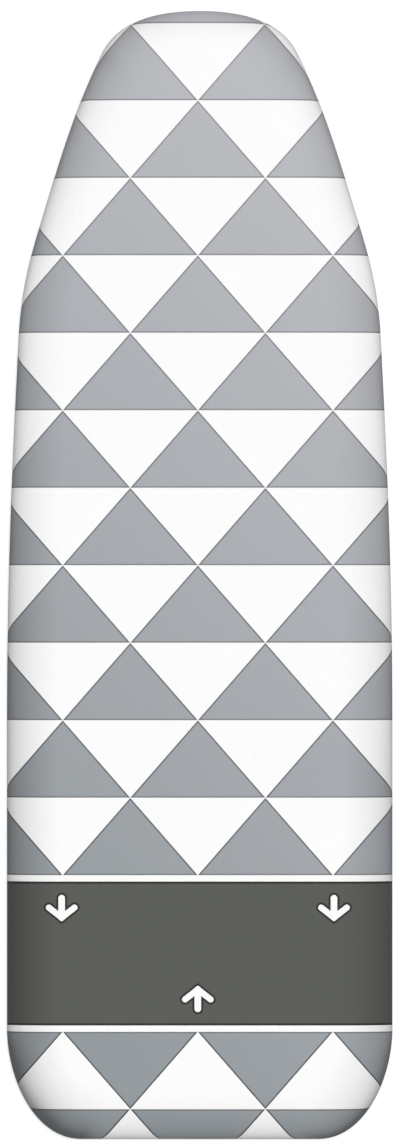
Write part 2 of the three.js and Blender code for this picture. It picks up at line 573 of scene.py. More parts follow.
@dataclass(frozen=True)
class OpenCellFoam:
    """Soft open-cell foam, with painted shade in the pits of its cells."""

    name: str = "open_cell_foam"
    colour: Colour = srgb(243, 234, 205)
    cells: float = 900.0
    # painted shade: the pits of the cells are darker and their walls lighter
    pit_painted_shade: float = 0.8
    wall_tone: float = 0.25
    clouds: float = 12.0
    cloud_tone: float = 0.08
    roughness: float = 0.95
    depth: float = 0.0004

    def material(self) -> Material:
        """Makes the material.

        Returns:
            The foam.
        """
        tree = FinishTree(self.name)
        place = tree.object_place()
        cell = tree.node("ShaderNodeTexVoronoi", inputs={"Vector": place, "Scale": self.cells})
        walls = Value(tree, cell.outputs["Distance"]).share()
        clouds = tree.clouds(place, self.clouds) * self.cloud_tone
        # Painted shade, darker in the pits of the cells.
        colour = tree.scale(self.colour, walls * self.wall_tone + self.pit_painted_shade + clouds)
        return tree.finish(colour, self.roughness, walls, self.depth)


@dataclass(frozen=True)
class RibbedElastic:
    """Woven elastic of fine yarns."""

    name: str = "ribbed_elastic"
    colour: Colour = srgb(240, 240, 236)
    yarns: float = 1400.0
    dark_tone: float = 0.85
    yarn_tone: float = 0.2
    roughness: float = 0.8
    depth: float = 0.00015

    def material(self) -> Material:
        """Makes the material.

        Returns:
            The elastic.
        """
        tree = FinishTree(self.name)
        yarn = tree.noise(tree.object_place(), self.yarns)
        colour = tree.scale(self.colour, yarn * self.yarn_tone + self.dark_tone)
        return tree.finish(colour, self.roughness, yarn, self.depth)


@dataclass(frozen=True)
class SewingThread:
    """Twisted sewing thread, with painted shade in the grooves of the twist."""

    name: str = "sewing_thread"
    colour: Colour = srgb(236, 236, 234)
    twist: float = 2600.0
    dark_tone: float = 0.82
    ply_painted_shade: float = 0.18
    roughness: float = 0.6
    depth: float = 0.00008

    def material(self) -> Material:
        """Makes the material.

        Returns:
            The thread.
        """
        tree = FinishTree(self.name)
        across, along, up = tree.split(tree.object_place())
        ply = ((across + along + up) * self.twist).sine() * 0.5 + 0.5
        # Painted shade in the grooves of the twist.
        colour = tree.scale(self.colour, ply * self.ply_painted_shade + self.dark_tone)
        return tree.finish(colour, self.roughness, ply, self.depth)


def smooth_step(share: float | np.ndarray) -> float | np.ndarray:
    """Eased share, or shares, level at 0 and at 1."""
    held = np.clip(share, 0.0, 1.0)
    return held * held * (3 - 2 * held)


def as_section(insets: np.ndarray, heights: np.ndarray) -> Section:
    """Points of a section from their insets and heights."""
    return list(zip(insets.tolist(), heights.tolist()))


def raised(points: np.ndarray, height: float | np.ndarray) -> np.ndarray:
    """Rows of x, y and z from rows of x and y and a height."""
    return np.column_stack([points, np.broadcast_to(height, len(points))])


def crossed(rows: np.ndarray) -> np.ndarray:
    """Cross product of each row of x and y with the next one round."""
    following = np.roll(rows, -1, axis=0)
    return rows[:, 0] * following[:, 1] - rows[:, 1] * following[:, 0]


@dataclass(frozen=True)
class KeyPoint:
    """Key point of the half outline: place, heading in degrees clockwise from +X, slide as it moves in."""

    x: float
    y: float
    turn: float
    ease: float = 0.0

    def heading(self) -> np.ndarray:
        """Direction in which the outline passes."""
        angle = math.radians(self.turn)
        return np.array([math.cos(angle), -math.sin(angle)])

    def moved(self, inset: float) -> np.ndarray:
        """Place of the point on the outline that lies inset from the edge."""
        along_x, along_y = self.heading() * inset
        return np.array([self.x + along_y + self.ease * along_x, self.y - along_x + self.ease * along_y])


@dataclass(frozen=True)
class CoverOutline:
    """Outline of the dressed cover from above, and the outlines that lie inside it.

    nose_corner is its half width, its distance from the tip and its turn in degrees. taper_end and side_start
    are narrowing, distance from the tip and turn, and heel_corner is what it takes across and along.
    """

    length: float
    width: float
    nose_corner: tuple[float, float, float] = (0.104, 0.045, 64)
    taper_end: tuple[float, float, float] = (0.033, 0.235, 73)
    side_start: tuple[float, float, float] = (0.0125, 0.346, 87)
    full_width_depth: float = 0.758
    heel_corner: tuple[float, float] = (0.079, 0.117)
    corner_ease: float = 0.4
    fullness: float = 0.36
    samples: int = 200

    def key_points(self) -> list[KeyPoint]:
        """Key points of the right-hand half.

        Returns:
            The points, from the nose tip to the middle of the heel.
        """
        half, nose, heel = self.width / 2, self.length / 2, -self.length / 2
        corner_x, corner_depth, corner_turn = self.nose_corner
        taper_in, taper_depth, taper_turn = self.taper_end
        side_in, side_depth, side_turn = self.side_start
        heel_x, heel_y = self.heel_corner
        return [
            KeyPoint(0.0, nose, 0),
            KeyPoint(corner_x, nose - corner_depth, corner_turn, self.corner_ease),
            KeyPoint(half - taper_in, nose - taper_depth, taper_turn),
            KeyPoint(half - side_in, nose - side_depth, side_turn),
            KeyPoint(half, nose - self.full_width_depth, 90),
            KeyPoint(half, heel + heel_y, 90),
            KeyPoint(half - heel_x, heel, 180, self.corner_ease),
            KeyPoint(0.0, heel, 180),
        ]

    def half_points(self, inset: float, course: np.ndarray) -> np.ndarray:
        """Points of the right-hand half.

        Args:
            inset: Distance inside the edge.
            course: Places on the half, as curve number plus share of that curve.

        Returns:
            One row of x and y for each place.
        """
        keys = self.key_points()
        curve = np.minimum(course.astype(int), len(keys) - 2)
        share = (course - curve)[:, None]
        rest = 1 - share
        ends = np.array([key.moved(inset) for key in keys])
        headings = np.array([key.heading() for key in keys])
        start, end = ends[curve], ends[curve + 1]
        handle = self.fullness * np.linalg.norm(end - start, axis=1, keepdims=True)
        leaving, arriving = start + headings[curve] * handle, end - headings[curve + 1] * handle
        near_ends = rest ** 3 * start + share ** 3 * end
        return near_ends + 3 * rest * share * (rest * leaving + share * arriving)

    def course(self) -> tuple[np.ndarray, np.ndarray]:
        """Places on the half outline.

        Returns:
            The places, as half_points takes them, and the distance along the edge to each.
        """
        curves = len(self.key_points()) - 1
        course = np.linspace(0, curves, self.samples * curves + 1)
        steps = np.linalg.norm(np.diff(self.half_points(0.0, course), axis=0), axis=1)
        return course, np.concatenate([[0.0], np.cumsum(steps)])

    def perimeter(self) -> float:
        """Length of the whole edge."""
        return 2 * float(self.course()[1][-1])

    def ring(self, inset: float, stations: np.ndarray) -> np.ndarray:
        """Points of the closed outline that lies inset from the edge.

        Args:
            inset: Distance inside the edge.
            stations: Distances along the edge from the nose tip, clockwise from above.

        Returns:
            One row of x and y for each station.
        """
        course, distance = self.course()
        left = stations > distance[-1]
        on_half = np.where(left, 2 * distance[-1] - stations, stations)
        points = self.half_points(inset, np.interp(on_half, distance, course))
        points[left, 0] *= -1
        return points

    def outward(self, inset: float, stations: np.ndarray) -> np.ndarray:
        """Directions out of the outline that lies inset from the edge.

        Args:
            inset: Distance inside the edge.
            stations: Stations round the edge.

        Returns:
            One row of x and y, of length 1, for each station.
        """
        points = self.ring(inset, stations)
        tangent = np.roll(points, -1, axis=0) - np.roll(points, 1, axis=0)
        tangent /= np.linalg.norm(tangent, axis=1, keepdims=True)
        return np.column_stack([-tangent[:, 1], tangent[:, 0]])

    def places(self, inset: float, height: float | np.ndarray, stations: np.ndarray) -> np.ndarray:
        """Points of the outline that lies inset from the edge, at a height, as rows of x, y and z."""
        return raised(self.ring(inset, stations), height)

    def spread(self, inset: float, spare: float | np.ndarray, stations: np.ndarray) -> np.ndarray:
        """Points that lie spare outside the outline that lies inset from the edge, as rows of x and y."""
        return self.ring(inset, stations) + self.outward(inset, stations) * spare

    def stations(self, count: int) -> np.ndarray:
        """Evenly spaced stations round the whole edge."""
        return np.arange(count) * self.perimeter() / count


@dataclass(frozen=True)
class EdgeSection:
    """Section of the dressed edge: a soft shoulder, the widest line, a roll below it and the flat return."""

    top: float
    return_bottom: float
    cloth: float = 0.0006
    shoulder_reach: float = 0.055
    widest_height: float = 0.012
    roll_reach: float = 0.016
    return_width: float = 0.052

    def shoulder(self, depth: float, angles: np.ndarray) -> Section:
        """Points of the shoulder on a face that lies depth beneath the outer one, 90 at the flat top."""
        return self.quarter(self.shoulder_reach, self.top - self.widest_height, depth, angles)

    def roll(self, angles: np.ndarray) -> Section:
        """Points of the roll, from the widest line at angle 0 to the flat return at angle -90."""
        return self.quarter(self.roll_reach, self.widest_height - self.return_bottom, 0.0, angles)

    def shoulder_angle(self, depth: float, height: float) -> float:
        """Angle at which a face beneath the outer one passes that height, in degrees."""
        rise = self.top - self.widest_height - depth
        return math.degrees(math.asin((height - self.widest_height) / rise))

    def quarter(self, reach: float, rise: float, depth: float, angles: np.ndarray) -> Section:
        """Points of a quarter ellipse beside the widest line.

        Args:
            reach: How far in its outer face goes.
            rise: How far its outer face goes up or down.
            depth: How far beneath the outer face it lies.
            angles: Angles of its points, in degrees.

        Returns:
            Inset and height of each point.
        """
        turn = np.radians(angles)
        insets = reach - (reach - depth) * np.cos(turn)
        return as_section(insets, self.widest_height + (rise - depth) * np.sin(turn))


@dataclass
class Gathers:
    """Folds that the elastic draws into the cloth under the board, deep at the corners and slight elsewhere.

    They wander by a few seeded waves, which take a whole number of turns round the edge.
    """

    outline: CoverOutline
    corner_pitch: float = 0.0135
    side_pitch: float = 0.021
    pitch_wander: float = 0.25
    corner_height: float = 0.0058
    side_height: float = 0.0023
    height_wander: float = 0.35
    tight_turn: float = 9.0
    spread: float = 0.035
    rise_from: float = 0.010
    rise_to: float = 0.032
    hem_share: float = 0.3
    hem_from: float = 0.044
    lean: float = 0.32
    seed: int = 11
    wander_waves: int = 9
    wander_turns: tuple[int, int] = (5, 60)
    wander_phase: float = 6.28
    wander_size: float = 3.5
    samples: int = 6000
    phase: np.ndarray = field(init=False)
    height: np.ndarray = field(init=False)
    corner: np.ndarray = field(init=False)

    def __post_init__(self) -> None:
        """Works out the folds once, on a dense set of stations."""
        stations = self.outline.stations(self.samples)
        step = self.outline.perimeter() / self.samples
        self.corner = self.edge_turn(stations, step)
        wander = self.wander(stations)
        pitch = self.side_pitch + (self.corner_pitch - self.side_pitch) * self.corner
        turns = np.cumsum(2 * math.pi * step / (pitch * (1 + self.pitch_wander * wander)))
        whole = 2 * math.pi * round(turns[-1] / (2 * math.pi))
        self.phase = turns * whole / turns[-1]
        tall = self.side_height + (self.corner_height - self.side_height) * self.corner
        self.height = tall * (1 + self.height_wander * np.roll(wander, self.samples // 3))

    def edge_turn(self, stations: np.ndarray, step: float) -> np.ndarray:
        """How much the edge turns round each station.

        Args:
            stations: Evenly spaced stations round the edge.
            step: Distance between them.

        Returns:
            A share for each station, from 0 on the sides to 1 at the corners.
        """
        turn = np.abs(crossed(self.outline.outward(0.0, stations))) / step
        width = int(self.spread / step)
        window = np.hanning(2 * width + 1)
        window /= window.sum()
        padded = np.concatenate([turn[-width:], turn, turn[:width]])
        return np.clip(np.convolve(padded, window, mode="valid") / self.tight_turn, 0, 1)

    def wander(self, stations: np.ndarray) -> np.ndarray:
        """Smooth unevenness round the edge.

        Args:
            stations: Stations round the edge.

        Returns:
            A number between about -1 and 1 for each station, which closes on itself.
        """
        source = np.random.default_rng(self.seed)
        angle = 2 * math.pi * stations / self.outline.perimeter()
        total = np.zeros_like(angle)
        for _ in range(self.wander_waves):
            turns = int(source.integers(*self.wander_turns))
            total += np.cos(angle * turns + source.uniform(0, self.wander_phase))
        return total / self.wander_size

    def at(self, table: np.ndarray, stations: np.ndarray) -> np.ndarray:
        """Values of a table at other stations."""
        return np.interp(stations, self.outline.stations(self.samples), table)

    def corners(self, stations: np.ndarray) -> np.ndarray:
        """How near each station is to a corner, from 0 to 1."""
        return self.at(self.corner, stations)

    def wave(self, stations: np.ndarray) -> np.ndarray:
        """Angle of the folds at each station, in radians."""
        return self.at(self.phase, stations)

    def reach(self, inset: float) -> float:
        """How much of the full fold there is.

        Args:
            inset: Distance inside the edge.

        Returns:
            A share: none at the edge, all on the return and less at the hem.
        """
        rise = smooth_step((inset - self.rise_from) / (self.rise_to - self.rise_from))
        hem = smooth_step((inset - self.rise_to) / (self.hem_from - self.rise_to))
        return rise * (1 - (1 - self.hem_share) * hem)

    def shift(self, inset: float, stations: np.ndarray) -> np.ndarray:
        """How the folds move a ring under the board.

        Args:
            inset: Distance of the ring inside the edge.
            stations: Stations round the edge.

        Returns:
            One row of x, y and z for each station: up into the fold, and over to its leaning side.
        """
        outward = self.outline.outward(inset, stations)
        wave = self.wave(stations)
        full = self.at(self.height, stations) * self.reach(inset)
        over = self.lean * full * np.sin(wave)
        up = full * (0.5 - 0.5 * np.cos(wave))
        return np.column_stack([outward[:, 1] * over, -outward[:, 0] * over, up])


def new_ring(mesh: Mesh, places: np.ndarray) -> Ring:
    """Adds a closed ring of edges.

    Args:
        mesh: Mesh that receives it.
        places: Place of each vertex.

    Returns:
        The ring's vertices, in order.
    """
    ring = [mesh.verts.new(place) for place in places]
    for pair in zip(ring, ring[1:] + ring[:1]):
        mesh.edges.new(pair)
    return ring


def ring_edges(mesh: Mesh, ring: Ring) -> list[bmesh.types.BMEdge]:
    """Edges of a closed ring."""
    return [mesh.edges.get(pair) for pair in zip(ring, ring[1:] + ring[:1])]


def extrude_ring(mesh: Mesh, ring: Ring, places: np.ndarray) -> Ring:
    """Extrudes a closed ring and moves the new ring to its places.

    Args:
        mesh: Mesh that grows.
        ring: Ring that is extruded.
        places: Place of each new vertex, in the ring's order.

    Returns:
        The new ring, in the same order.
    """
    order = {vertex: number for number, vertex in enumerate(ring)}
    made = bmesh.ops.extrude_edge_only(mesh, edges=ring_edges(mesh, ring))["geom"]
    grown: list = [None] * len(ring)
    for vertex in (item for item in made if isinstance(item, bmesh.types.BMVert)):
        neighbours = (edge.other_vert(vertex) for edge in vertex.link_edges)
        number = next(order[other] for other in neighbours if other in order)
        vertex.co = places[number]
        grown[number] = vertex
    return grown


def close_rings(mesh: Mesh, last: Ring, first: Ring) -> None:
    """Extrudes the last ring onto the first and welds them, so that a section closes."""
    landed = extrude_ring(mesh, last, np.array([vertex.co for vertex in first]))
    bmesh.ops.weld_verts(mesh, targetmap=dict(zip(landed, first)))


def fill_ring(mesh: Mesh, ring: Ring, grid: float, snap: float = 0.03) -> None:
    """Closes a flat ring with one face and cuts it into a grid.

    Args:
        mesh: Mesh that holds the ring.
        ring: The ring.
        grid: Spacing of the cuts, both ways.
        snap: Share of the grid within which a cut runs through a vertex that is already there.
    """
    faces = bmesh.ops.contextual_create(mesh, geom=ring_edges(mesh, ring))["faces"]
    places = np.array([vertex.co for vertex in ring])
    low, high = Vector(places.min(axis=0)), Vector(places.max(axis=0))
    for axis, normal in enumerate((Vector((1, 0, 0)), Vector((0, 1, 0)))):
        count = int((high[axis] - low[axis]) / grid)
        for number in range(1, count):
            whole = dict.fromkeys(item for face in faces for item in (face, *face.edges, *face.verts))
            cut = bmesh.ops.bisect_plane(mesh, geom=list(whole), dist=grid * snap, plane_no=normal,
                                         plane_co=low.lerp(high, number / count))
            faces = [item for item in cut["geom"] if isinstance(item, bmesh.types.BMFace)]
    many_sided = [face for face in faces if len(face.verts) > 4]
    bmesh.ops.triangulate(mesh, faces=many_sided, ngon_method="BEAUTY")


def build_slab(outline: CoverOutline, stations: np.ndarray, points: Section, grid: float) -> Mesh:
    """Builds a closed slab of padding.

    Args:
        outline: Outline of the cover.
        stations: Stations round the edge.
        points: Inset and height of its rim, from the upper face to the lower.
        grid: Spacing of the cuts in the two faces.

    Returns:
        The slab.
    """
    mesh = bmesh.new()
    rings = [outline.places(inset, height, stations) for inset, height in points]
    upper, lower = (outline.places(inset + grid / 2, height, stations)
                    for inset, height in (points[0], points[-1]))
    ring = new_ring(mesh, rings[0])
    fill_ring(mesh, extrude_ring(mesh, ring, upper), grid)
    for places in rings[1:]:
        ring = extrude_ring(mesh, ring, places)
    fill_ring(mesh, extrude_ring(mesh, ring, lower), grid)
    return mesh


def new_piece(name: str, mesh: Mesh, finishes: list[Material]) -> Piece:
    """Turns a bmesh into a smooth-shaded piece at the origin.

    Args:
        name: Name of the piece.
        mesh: Its shape, which is freed.
        finishes: Its materials.

    Returns:
        The new object.
    """
    bmesh.ops.recalc_face_normals(mesh, faces=mesh.faces[:])
    for face in mesh.faces:
        face.smooth = True
    data = bpy.data.meshes.new(name)
    mesh.to_mesh(data)
    mesh.free()
    for finish in finishes:
        data.materials.append(finish)
    piece = bpy.data.objects.new(name, data)
    bpy.context.scene.collection.objects.link(piece)
    return piece


@dataclass(frozen=True)
class PaintedEdgeShade:
    """Painted shade on the printed cloth along its rolled edge, by a share of brightness on ink and on
    ground.

    It is deepest at the heel's corners, each given as ink, ground and reach, and painted light makes the ink
    paler at the nose tip.
    """

    reach: float = 0.055
    under_reach: float = 0.012
    ink_middle: float = 0.225
    ink_slope: float = 0.33
    ink_range: tuple[float, float] = (0.07, 0.31)
    # painted shade is deeper on the left side than on the right
    side_lean: float = 0.12
    ground_middle: float = 0.10
    ground_slope: float = 0.35
    ground_range: tuple[float, float] = (0.0, 0.21)
    # painted shade in a thin rim at the widest line
    rim_ink: float = 0.25
    rim_reach: float = 0.002
    corner_y: float = 0.47
    corner_fade: float = 0.06
    # painted shade at the heel's corners, deeper on the left
    heel_left: tuple[float, float, float] = (0.80, 0.66, 0.0115)
    heel_right: tuple[float, float, float] = (0.62, 0.30, 0.006)
    nose_ink: float = 0.2
    nose_reach: float = 0.015
    # painted light that makes the ink paler at the nose tip
    tip_painted_light: float = 0.24
    tip_reach: float = 0.007
    tip_focus: float = 6.0
    deepest: float = 0.6

    def shares(self, gathers: Gathers, inset: float, under: bool, stations: np.ndarray) -> np.ndarray:
        """How much painted shade one ring of the cloth takes.

        Args:
            gathers: The cover's gathers, which know its outline and its corners.
            inset: Distance of the ring inside the edge.
            under: Whether the ring lies under the edge, where the painted shade fades sooner.
            stations: Stations round the edge.

        Returns:
            For each station, the share of brightness that the ink loses to painted shade, that the ground
            loses, and 0.
        """
        kept = 1 - smooth_step(inset / self.under_reach) if under else 1.0
        across, along = gathers.outline.ring(0.0, stations).T
        rightward, noseward = gathers.outline.outward(0.0, stations).T
        # Painted shade along the sides, fading over the shoulder, and a painted rim of shade at the widest
        # line.
        side = np.abs(rightward) * max(1 - inset / self.reach, 0.0)
        rim = np.abs(rightward) * math.exp(-inset / self.rim_reach)
        # Painted shade at the corners of the nose and of the heel.
        nose, heel = (gathers.corners(stations) * smooth_step((place - self.corner_y) / self.corner_fade)
                      for place in (along, -along))
        at_right = (across > 0)[:, None]
        heel_ink, heel_ground, heel_reach = np.where(at_right, self.heel_right, self.heel_left).T
        heel = heel * np.exp(-inset / heel_reach)
        nose = nose * math.exp(-inset / self.nose_reach)
        # Painted light that makes the ink paler at the nose tip.
        tip = np.maximum(noseward, 0.0) ** self.tip_focus * math.exp(-inset / self.tip_reach)
        ink = side * np.clip(self.ink_middle - self.ink_slope * along, *self.ink_range)
        # The painted shade is deeper on the left side than on the right.
        ink = ink * (1 - self.side_lean * rightward) + heel * heel_ink + nose * self.nose_ink
        ink = ink + rim * self.rim_ink - tip * self.tip_painted_light
        ground = side * np.clip(self.ground_middle - self.ground_slope * along, *self.ground_range)
        ground = ground + heel * heel_ground
        return np.minimum(np.column_stack([ink, ground, np.zeros_like(ink)]), self.deepest) * kept


@dataclass
class CoverCloth:
    """Printed cotton shell over the padding: top, shoulder, roll, and the gathered return under the board.

    Each of the top's swells is given as lumps to the metre, seed and share of the height.
    """

    outline: CoverOutline
    section: EdgeSection
    gathers: Gathers
    count: int = 1000
    grid: float = 0.010
    border: float = 0.006
    shoulder_steps: int = 14
    roll_steps: int = 9
    return_steps: int = 13
    swell: float = 0.0007
    swell_fade: float = 0.012
    swell_mean: float = 0.5
    swells: tuple[tuple[float, float, float], ...] = ((9.0, 3.0, 0.4), (30.0, 7.0, 0.15))
    pucker: float = 0.0011
    pucker_rise: float = 0.005
    side_pucker: float = 0.2
    print_take_up: float = 0.72
    # painted shade along the rolled edge
    greying: PaintedEdgeShade = PaintedEdgeShade()
    back: PlainCloth = PlainCloth("cotton_back", srgb(236, 235, 230))
    flat_size: tuple[float, float] = field(init=False)
    flat_area: float = field(init=False)

    def build(self) -> Piece:
        """Builds the shell and dresses it.

        Returns:
            The cloth.
        """
        mesh = bmesh.new()
        cut = mesh.verts.layers.float_vector.new(CUT_LAYER)
        # Layer of painted shade along the rolled edge.
        grey = mesh.verts.layers.float_vector.new(PAINTED_SHADE_LAYER)
        stations = self.outline.stations(self.count)
        ring = self.lay_top(mesh, stations)
        for vertex in mesh.verts:
            vertex[cut] = (vertex.co.x, vertex.co.y, 0.0)
        travelled, printed = 0.0, 0.0
        points = self.points()
        for before, point in zip(points, points[1:]):
            step = math.dist(before, point)
            travelled += step
            printed += max(before[0] - point[0], step * self.print_take_up)
            ring = extrude_ring(mesh, ring, self.places(point, stations))
            under = point[1] < self.section.widest_height
            laid = raised(self.print_places(point, printed, stations), 0.0)
            # Painted shade along the rolled edge, kept in each vertex.
            shares = self.greying.shares(self.gathers, point[0], under, stations)
            for vertex, place, share in zip(ring, laid, shares):
                vertex[cut] = place
                vertex[grey] = share
        self.measure_flat(travelled - self.section.shoulder_reach, stations)
        self.swell_top(mesh)
        finishes = [PrintedCotton(self.outline.length).material(), self.back.material()]
        piece = new_piece("printed_cover", mesh, finishes)
        wall = piece.modifiers.new("cloth_thickness", "SOLIDIFY")
        wall.thickness = self.section.cloth
        wall.offset = -1.0
        wall.material_offset = 1
        wall.material_offset_rim = 1
        return piece

    def lay_top(self, mesh: Mesh, stations: np.ndarray) -> Ring:
        """Lays the flat top of the cloth.

        Args:
            mesh: Mesh that receives it.
            stations: Stations round the edge.

        Returns:
            The ring round the flat top.
        """
        reach, top = self.section.shoulder_reach, self.section.top
        outer, inner = (self.outline.places(inset, top, stations) for inset in (reach, reach + self.border))
        ring = new_ring(mesh, outer)
        fill_ring(mesh, extrude_ring(mesh, ring, inner), self.grid)
        return ring

    def points(self) -> Section:
        """Section of the cloth.

        Returns:
            Inset and height of its points, from the edge of the flat top to the cut edge of the return.
        """
        shoulder = self.section.shoulder(0.0, np.linspace(90, 0, self.shoulder_steps + 1))
        roll = self.section.roll(np.linspace(0, -90, self.roll_steps + 1))
        insets = np.linspace(self.section.roll_reach, self.section.return_width, self.return_steps + 1)
        flat_return = as_section(insets, np.full_like(insets, self.section.return_bottom))
        return shoulder + roll[1:] + flat_return[1:]

    def places(self, point: tuple[float, float], stations: np.ndarray) -> np.ndarray:
        """Places of one ring of the cloth, with its gathers and puckers.

        Args:
            point: Inset and height in the smooth section.
            stations: Stations round the edge.

        Returns:
            One row of x, y and z for each station.
        """
        inset, height = point
        if height > self.section.widest_height:
            return self.outline.places(inset, height, stations)
        upper = smooth_step((self.section.widest_height - height) / self.pucker_rise)
        lower = smooth_step((height - self.section.return_bottom) / self.pucker_rise)
        cornered = self.side_pucker + (1 - self.side_pucker) * self.gathers.corners(stations)
        valley = 0.5 + 0.5 * np.cos(self.gathers.wave(stations))
        deep = self.pucker * cornered * upper * lower * valley
        puckered = self.outline.spread(inset, -deep[:, None], stations)
        return raised(puckered, height) + self.gathers.shift(inset, stations)

    def print_places(self, point: tuple[float, float], printed: float, stations: np.ndarray) -> np.ndarray:
        """Places of one ring in the print, which lies straight from above up to the steep part of the edge.

        Args:
            point: Inset and height in the smooth section.
            printed: How far the print has gone on past the flat top.
            stations: Stations round the edge.

        Returns:
            One row of x and y for each station.
        """
        inset = point[0] if point[1] > self.section.widest_height else 0.0
        return self.outline.spread(inset, printed - (self.section.shoulder_reach - inset), stations)

    def measure_flat(self, spare: float, stations: np.ndarray) -> None:
        """Works out the size and the area of the cloth as it was cut.

        Args:
            spare: How far the flat cloth reaches past the outline of the dressed cover.
            stations: Stations round the edge.
        """
        edge = self.outline.spread(0.0, spare, stations)
        self.flat_size = tuple(float(size) for size in np.ptp(edge, axis=0))
        self.flat_area = 0.5 * abs(float(np.sum(crossed(edge))))

    def swell_top(self, mesh: Mesh) -> None:
        """Lifts the top by the slight unevenness of the foam under it.

        Args:
            mesh: Mesh of the cloth.
        """
        for vertex in mesh.verts:
            level = smooth_step((vertex.co.z - self.section.top) / self.swell_fade + 1.0)
            if level > 0:
                across, along, _ = vertex.co
                lift = sum(share * noise.noise(Vector((across * lumps, along * lumps, seed)))
                           for lumps, seed, share in self.swells)
                vertex.co.z += level * self.swell * (self.swell_mean + lift)


@dataclass
class FoamPad:
    """Upper padding: soft foam that follows the cloth's shoulder down to a thin rim."""

    outline: CoverOutline
    section: EdgeSection
    bottom: float
    depth: float
    rim: float = 0.0012
    rim_lean: float = 0.0004
    count: int = 420
    steps: int = 10
    grid: float = 0.03

    def build(self) -> Piece:
        """Builds the foam and dresses it.

        Returns:
            The foam pad.
        """
        low = self.section.shoulder_angle(self.depth, self.bottom + self.rim)
        points = self.section.shoulder(self.depth, np.linspace(90, low, self.steps + 1))
        points.append((points[-1][0] + self.rim_lean, self.bottom))
        mesh = build_slab(self.outline, self.outline.stations(self.count), points, self.grid)
        return new_piece("foam_layer", mesh, [OpenCellFoam().material()])


@dataclass
class FeltUnderlay:
    """Lower padding: a flat felt on the board, its edge pared to the slope of the cloth."""

    outline: CoverOutline
    section: EdgeSection
    bottom: float
    top: float
    depth: float
    count: int = 420
    steps: int = 4
    grid: float = 0.016
    fluff: float = 0.0002
    fluff_lumps: float = 45.0

    def build(self) -> Piece:
        """Builds the felt and dresses it.

        Returns:
            The felt underlay.
        """
        heights = np.linspace(self.top, self.bottom, self.steps + 1)
        angles = np.array([self.section.shoulder_angle(self.depth, height) for height in heights])
        points = self.section.shoulder(self.depth, angles)
        mesh = build_slab(self.outline, self.outline.stations(self.count), points, self.grid)
        for vertex in mesh.verts:
            if vertex.co.z < self.bottom + self.fluff:
                vertex.co.z += self.fluff * (0.5 + 0.5 * noise.noise(vertex.co * self.fluff_lumps))
        return new_piece("felt_layer", mesh, [NeedledFelt().material()])


